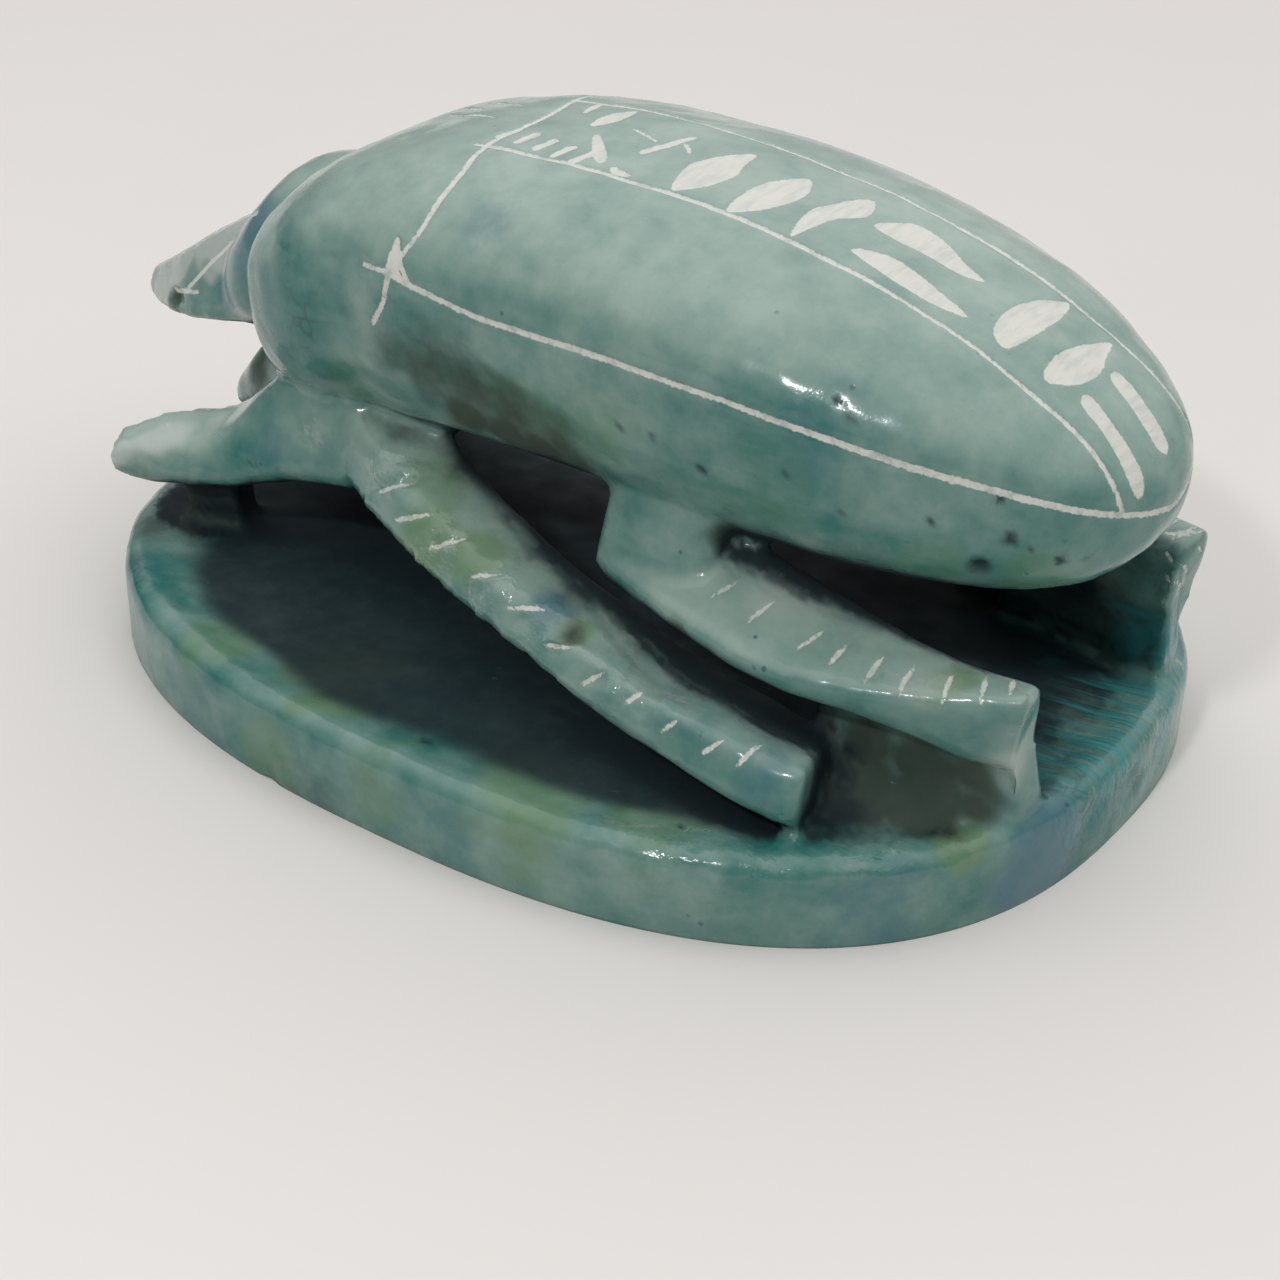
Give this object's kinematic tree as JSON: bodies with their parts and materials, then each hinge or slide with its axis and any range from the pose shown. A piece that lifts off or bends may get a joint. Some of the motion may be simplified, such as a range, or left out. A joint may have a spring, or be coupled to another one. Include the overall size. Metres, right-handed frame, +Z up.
{
  "type": "carved scarab amulet",
  "caption": "Carved soapstone scarab: a beetle with domed back and shield-shaped head on tucked legs, cut in one with an oval base plate.",
  "frame": {"origin": "centre of the whole carving's footprint, head included, on the flat underside", "axes": "+Z up, head toward -Y, tail toward +Y, X across the beetle"},
  "size_m": [0.0764, 0.1106, 0.0492],
  "materials": {
    "dyed_soapstone": "dyed blue-green and varnished, glossy on the high places"
  },
  "bodies": {
    "root": {"scarab": "dyed_soapstone"}
  },
  "joints": []
}
